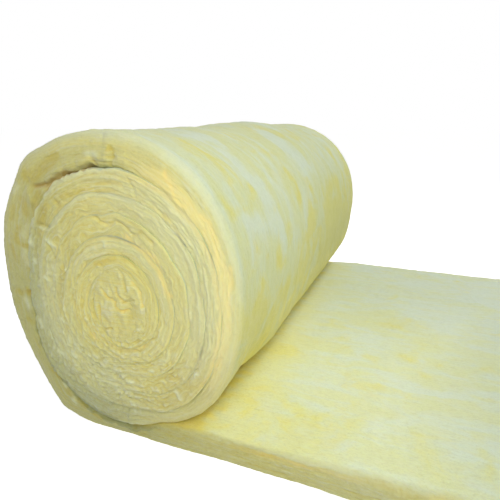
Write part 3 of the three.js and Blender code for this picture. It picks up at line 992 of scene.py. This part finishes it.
def glass_wool():
    material = bpy.data.materials.new("glass_wool")
    material.use_nodes = True
    nodes = Nodes(material.node_tree)
    strip = nodes.field("strip")[0]
    cavity, rim, inner_side = nodes.field("tone")[1]
    orange, pale, brown = nodes.field("tint")[1]
    stain_and_painted_light, gold, shade = nodes.field("stain_and_painted_light")[1]

    veils = nodes.noise(strip, (5, 60, 19), 5, 0.54, 1.2)
    blotches = nodes.noise(strip, (8, 40, 10), 5, 0.58, 0.9)
    grain = nodes.noise(strip, (190, 240, 240), 3, 0.6, 0.5)
    mottle = nodes.noise(strip, (50, 90, 90), 4, 0.6)
    streaks = nodes.noise(strip, (20, 300, 260), 3, 0.6, 0.4)
    strata = nodes.noise(strip, (9, 330, 14), 3, 0.6, 0.3)
    fibres = nodes.noise(strip, (90, 260, 220), 5, 0.75, 0.6)

    veil = nodes.ramp(nodes.math("ADD", veils, nodes.times(stain_and_painted_light, -0.24)), 0.38, 0.7)
    blotch = nodes.ramp(nodes.math("ADD", blotches, nodes.times(stain_and_painted_light, 0.22)), 0.5, 0.76)
    outer = nodes.mix(blotch, nodes.mix(veil, OUTER_CREAM, OUTER_WHITE), OUTER_LEMON)
    inner = nodes.mix(blotch, nodes.mix(veil, CREAM, WHITE), LEMON)
    colour = nodes.mix(inner_side, outer, inner)
    mottled = nodes.math("ADD", nodes.times(rim, 0.25), 0.08)
    layers = nodes.times(nodes.ramp(strata, 0.5, 0.3), rim)
    pale_layers = nodes.times(nodes.ramp(strata, 0.54, 0.74), rim)
    for share, amount, over in (
        # gold first: the painted glow by the contact
        (gold, 0.9, GOLD),
        (rim, 0.9, WOOL),
        (nodes.times(nodes.ramp(stain_and_painted_light, 0.1, 0.8), rim), 0.8, YELLOW),
        # painted shade: darker yellow in creases; painted highlight: paler wool on lumps
        (nodes.ramp(cavity, 0.05, 0.9), 0.6, YELLOW),
        (nodes.ramp(cavity, -0.05, -0.8), 0.6, PALE_WOOL),
        (nodes.ramp(mottle, 0.45, 0.7), mottled, WOOL),
        (nodes.ramp(fibres, 0.62, 0.35), 0.06, YELLOW),
        (nodes.ramp(fibres, 0.55, 0.3), 0.3, THIN),
        (nodes.ramp(streaks, 0.5, 0.72), 0.16, PALE_WOOL),
        (nodes.ramp(streaks, 0.5, 0.28), 0.25, THIN),
        (nodes.ramp(grain, 0.52, 0.3), 0.35, THIN),
        (layers, 0.4, YELLOW),
        (pale_layers, 0.45, PALE_WOOL),
        (orange, 0.8, ORANGE),
        (pale, 0.7, WHITE),
    ):
        colour = nodes.mix(nodes.times(share, amount), colour, over)
    colour = nodes.mix(shade, colour, SHADED)
    # brown: in the crack, and brown painted shade in the slit and by the contact
    colour = nodes.mix(brown, colour, BROWN)

    bump = nodes.add("ShaderNodeBump", {"Strength": 0.7, "Distance": 0.004, "Height": fibres})
    nodes.fill(material.node_tree.nodes["Principled BSDF"], {
        "Base Color": colour,
        "Normal": bump.outputs[0],
        "Roughness": 0.95,
        "Specular IOR Level": 0.15,
        "Sheen Weight": 0.25,
        "Sheen Roughness": 0.5,
        "Subsurface Weight": 0.5,
        "Subsurface Radius": (1, 0.9, 0.45),
        "Subsurface Scale": 0.008,
    })
    return material


# ---- stage, light and camera ----

FLOOR_HALF = 30.0
FLOOR_SINK = 0.0005  # below the wool, so that the two don't share a plane
FLOOR_GLOW = 0.7  # what only the camera sees, for a white floor that keeps the shadow
FILL = 0.35  # the world's light on the object
CAMERA_PLACE = (0.0648, -1.237, 0.6444)
CAMERA_TURN = 21.886  # degrees, from looking along y
CAMERA_DIP = 16.334
CAMERA_ROLL = -0.323
LENS = 31.67
SENSOR = 36.0


def add_floor():
    mesh = bpy.data.meshes.new("floor")
    corners = [(x * FLOOR_HALF, y * FLOOR_HALF, 0) for x, y in ((-1, -1), (1, -1), (1, 1), (-1, 1))]
    mesh.from_pydata(corners, [], [(0, 1, 2, 3)])
    floor = bpy.data.objects.new("floor", mesh)
    floor.location.z = -FLOOR_SINK
    bpy.context.scene.collection.objects.link(floor)
    material = bpy.data.materials.new("floor")
    material.use_nodes = True
    nodes = Nodes(material.node_tree)
    nodes.fill(material.node_tree.nodes["Principled BSDF"], {
        "Base Color": (0.86, 0.86, 0.85, 1),
        "Roughness": 1,
        "Specular IOR Level": 0,
        "Emission Color": (1, 1, 1, 1),
        "Emission Strength": nodes.seen(FLOOR_GLOW),
    })
    mesh.materials.append(material)


def add_world():
    world = bpy.data.worlds.new("studio")
    world.use_nodes = True
    bpy.context.scene.world = world
    nodes = Nodes(world.node_tree)
    strength = nodes.math("ADD", nodes.seen(1 - FILL), FILL)
    nodes.fill(world.node_tree.nodes["Background"], {"Color": (1, 1, 1, 1), "Strength": strength})


def add_area_light(name, place, target, size, power):
    data = bpy.data.lights.new(name, "AREA")
    data.shape = "DISK"
    data.size = size
    data.energy = power
    lamp = bpy.data.objects.new(name, data)
    lamp.location = place
    aim = Vector(target) - Vector(place)
    lamp.rotation_euler = aim.to_track_quat("-Z", "Y").to_euler()
    bpy.context.scene.collection.objects.link(lamp)


def add_camera():
    data = bpy.data.cameras.new("camera")
    data.sensor_width = SENSOR
    data.lens = LENS
    camera = bpy.data.objects.new("camera", data)
    camera.matrix_world = Matrix.Translation(CAMERA_PLACE)
    for degrees, axis in ((CAMERA_TURN, "Z"), (90 - CAMERA_DIP, "X"), (CAMERA_ROLL, "Z")):
        camera.matrix_world = camera.matrix_world @ Matrix.Rotation(math.radians(degrees), 4, axis)
    bpy.context.scene.collection.objects.link(camera)
    bpy.context.scene.camera = camera


# ---- the scene ----

bpy.context.scene.view_settings.view_transform = "Standard"
add_camera()
add_world()
add_area_light("key", place=(0.6, -2.0, 1.6), target=(-0.3, -0.3, 0.3), size=0.9, power=27)
add_area_light("back", place=(0.8, 1.2, 2.4), target=(-0.2, -0.1, 0.3), size=1.2, power=31)
add_floor()

coarse = 1
HIDDEN = (0.012, 0.25)  # spacing of points on a face that another turn covers
SEEN = (0.005, 0.009)
OPEN_ENDS = (38, 18, 7)  # points across the near end, across the far end and round a corner
WOUND_ENDS = (26, 12, 3)
flat_section = Section(*OPEN_ENDS, HIDDEN, SEEN)
outer_section = Section(*OPEN_ENDS, SEEN, HIDDEN)
inner_section = Section(*WOUND_ENDS, HIDDEN, HIDDEN)
pieces = [wool_piece("flat_stretch", -UNROLLED_LENGTH, 0, 0.0042 * coarse, flat_section)]
for name, start, end, spacing, section in (
    ("outer_turn_left", 0, 0.5, 0.0036, outer_section),
    ("outer_turn_right", 0.5, 1, 0.0042, outer_section),
    ("second_and_third_turn", 1, 3, 0.0026, inner_section),
    ("innermost_turns", 3, TURN_COUNT, 0.0025, inner_section),
):
    pieces.append(wool_piece(name, length_at(start), length_at(end), spacing * coarse, section))
eye_rings = 36
pieces.append(eye_piece("eye_near_end", -1, eye_rings))
pieces.append(eye_piece("eye_far_end", 1, eye_rings))
wool = glass_wool()
for piece in pieces:
    piece.data.materials.append(wool)
    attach(piece, "root")
    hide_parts("glass_wool_blanket")
